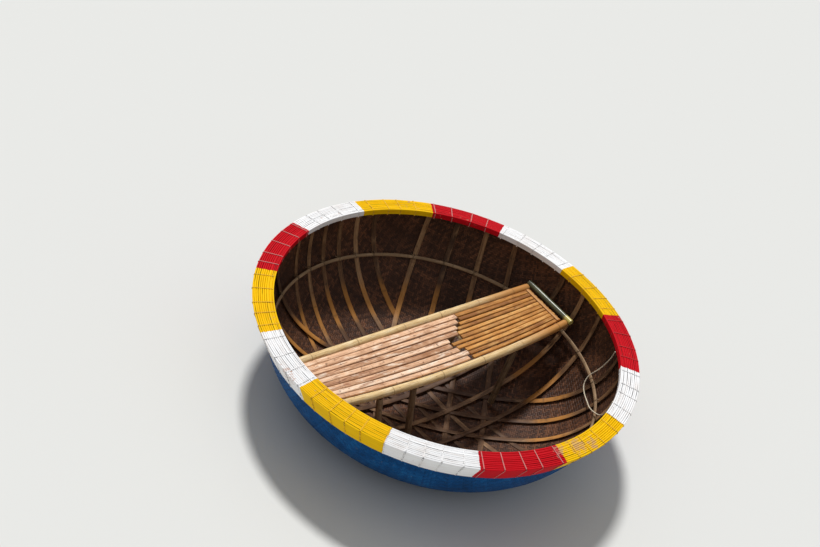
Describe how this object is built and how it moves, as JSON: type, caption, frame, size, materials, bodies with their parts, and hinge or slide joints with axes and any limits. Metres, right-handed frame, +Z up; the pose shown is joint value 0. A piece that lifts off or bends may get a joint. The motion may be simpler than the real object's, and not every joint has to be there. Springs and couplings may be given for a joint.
{
  "type": "round bamboo basket boat",
  "caption": "Round woven bamboo basket boat with bent ribs, a laminated painted rim and a slatted bench.",
  "frame": {"origin": "middle of the boat at the waterline, afloat and empty", "axes": "+Z up, +X along the bench, +Y from the bench's front pole to its back pole"},
  "size_m": [2.2, 2.2, 0.677],
  "materials": {
    "painted_hull": "woven bamboo, blue paint outside, dark resin inside",
    "painted_rim": "bent bamboo laths, worn red, yellow and white paint",
    "rib_bamboo": "split bamboo, weathered brown",
    "hoop_bamboo": "split bamboo, weathered brown",
    "left_slat_bamboo": "split bamboo, bare and dry",
    "right_slat_bamboo": "split bamboo, bare and dry",
    "pole_bamboo": "round bamboo, bare and dry",
    "leg_bamboo": "round bamboo, weathered brown",
    "rope": "laid fibre rope, off white"
  },
  "bodies": {
    "root": {"bench_back_leg_1": "leg_bamboo", "bench_back_leg_2": "leg_bamboo", "bench_back_pole": "pole_bamboo", "bench_crossbar_1": "pole_bamboo", "bench_crossbar_2": "pole_bamboo", "bench_crossbar_3": "pole_bamboo", "bench_crossbar_4": "pole_bamboo", "bench_end_lath": "pole_bamboo", "bench_front_leg_1": "leg_bamboo", "bench_front_leg_2": "leg_bamboo", "bench_front_leg_3": "leg_bamboo", "bench_front_pole": "pole_bamboo", "bench_left_slats": "left_slat_bamboo", "bench_right_end_pole": "pole_bamboo", "bench_right_slats": "right_slat_bamboo", "hull_basket": "painted_hull", "rib_across_1": "rib_bamboo", "rib_across_2": "rib_bamboo", "rib_across_3": "rib_bamboo", "rib_across_4": "rib_bamboo", "rib_across_5": "rib_bamboo", "rib_across_6": "rib_bamboo", "rib_along_1": "rib_bamboo", "rib_along_2": "rib_bamboo", "rib_along_3": "rib_bamboo", "rib_diagonal_left_1": "rib_bamboo", "rib_diagonal_left_2": "rib_bamboo", "rib_diagonal_left_3": "rib_bamboo", "rib_diagonal_left_4": "rib_bamboo", "rib_diagonal_right_1": "rib_bamboo", "rib_diagonal_right_2": "rib_bamboo", "rib_diagonal_right_3": "rib_bamboo", "rib_diagonal_right_4": "rib_bamboo", "rim_cap_1": "painted_rim", "rim_cap_2": "painted_rim", "rim_inner_band": "painted_rim", "rim_lath_1": "painted_rim", "rim_lath_2": "painted_rim", "rim_lath_3": "painted_rim", "rim_lath_4": "painted_rim", "rim_lath_5": "painted_rim", "rim_lath_6": "painted_rim", "rim_outer_band": "painted_rim", "rope": "rope", "wall_hoop": "hoop_bamboo"}
  },
  "joints": []
}
